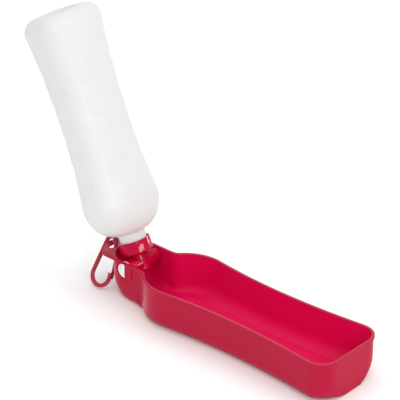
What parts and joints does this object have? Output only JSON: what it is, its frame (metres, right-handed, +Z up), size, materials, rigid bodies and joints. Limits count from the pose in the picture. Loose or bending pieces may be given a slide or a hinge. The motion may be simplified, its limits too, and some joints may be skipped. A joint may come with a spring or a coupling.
{
  "type": "dog travel water bottle",
  "caption": "Dog travel bottle: a squeeze bottle screwed into a swivelling tap cap, hinged in the head of a long drinking trough that doubles as its case, with a carabiner.",
  "frame": {"origin": "on the trough's flat underside, in the middle of its width and halfway from the hinge axis to the free end", "axes": "+X along the trough from the hinge to the free end, +Y across it parallel to the hinge axis, +Z up"},
  "size_m": [0.3728, 0.0808, 0.265],
  "materials": {
    "trough_red": "satin moulded polypropylene, raspberry red",
    "cap_red": "gloss moulded plastic, raspberry red",
    "clip_red": "semi-gloss moulded nylon, raspberry red",
    "spindle_white": "plain white acetal",
    "bottle_natural": "natural soft low-density polyethylene, milky and slightly translucent",
    "seal_rubber": "black nitrile rubber",
    "washer_rubber": "pale silicone rubber"
  },
  "bodies": {
    "trough": {"trough": "trough_red", "valve_spindle": "spindle_white", "o_ring_near": "seal_rubber", "o_ring_far": "seal_rubber"},
    "tap": {"valve_cap": "cap_red", "cap_seal": "washer_rubber"},
    "bottle": {"bottle": "bottle_natural"},
    "clip": {"carabiner": "clip_red"},
    "gate": {"carabiner_gate": "clip_red"}
  },
  "joints": [
    {"name": "bottle_fold", "type": "hinge", "parent": "trough", "child": "tap", "pos_m": [-0.1263, 0, 0.0327], "axis": [0, 1, 0], "range_deg": [-6, 114]},
    {"name": "bottle_unscrew", "type": "hinge", "parent": "tap", "child": "bottle", "pos_m": [-0.13434, 0, 0.05101], "axis": [-0.4019, 0, 0.9157], "range_deg": [0, 360]},
    {"name": "carabiner_swing", "type": "hinge", "parent": "trough", "child": "clip", "pos_m": [-0.16235, -0.0018, 0.0403], "axis": [0, 1, 0], "range_deg": [0, 35]},
    {"name": "gate_open", "type": "hinge", "parent": "clip", "child": "gate", "pos_m": [-0.15521, -0.00217, 0.03193], "axis": [0, 0.8829, -0.4695], "range_deg": [0, 25], "stiffness_Nm_per_rad": 0.03}
  ]
}
